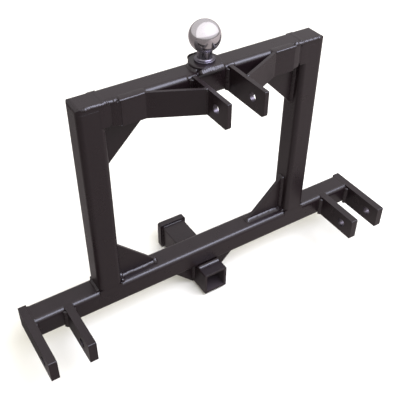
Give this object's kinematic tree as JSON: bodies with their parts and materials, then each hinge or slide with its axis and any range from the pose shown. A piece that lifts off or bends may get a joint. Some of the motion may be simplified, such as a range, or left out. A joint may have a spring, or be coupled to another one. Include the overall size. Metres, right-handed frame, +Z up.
{
  "type": "three point receiver hitch",
  "caption": "Welded steel A-frame for a tractor's three point linkage, with a square receiver under the lower bar and a hitch ball on the top bar.",
  "frame": {"origin": "centre of the receiver tube's mouth, in the plane of its rear end", "axes": "+X across the tractor to the viewer's right as the tractor side is seen, +Y backwards out of the receiver's mouth, away from the tractor, +Z up"},
  "size_m": [0.9334, 0.3169, 0.7055],
  "materials": {
    "black_paint": "satin black paint over welded steel",
    "polished_ball": "polished plated steel",
    "zinc_fastener": "bright zinc plate"
  },
  "bodies": {
    "root": {"lower_crossbar": "black_paint", "top_crossbar": "black_paint", "left_upright": "black_paint", "right_upright": "black_paint", "left_upright_cap": "black_paint", "right_upright_cap": "black_paint", "lower_left_outer_ear": "black_paint", "lower_left_inner_ear": "black_paint", "lower_right_inner_ear": "black_paint", "lower_right_outer_ear": "black_paint", "top_link_ear_left": "black_paint", "top_link_ear_right": "black_paint", "brace_strap_left": "black_paint", "brace_strap_right": "black_paint", "upper_gusset_left": "black_paint", "upper_gusset_right": "black_paint", "lower_gusset_left": "black_paint", "lower_gusset_right": "black_paint", "receiver_tube": "black_paint", "receiver_collar": "black_paint", "receiver_gusset_left": "black_paint", "receiver_gusset_right": "black_paint", "ball_pad": "black_paint", "hitch_ball": "polished_ball", "ball_lock_washer": "zinc_fastener", "ball_nut": "zinc_fastener"}
  },
  "joints": []
}
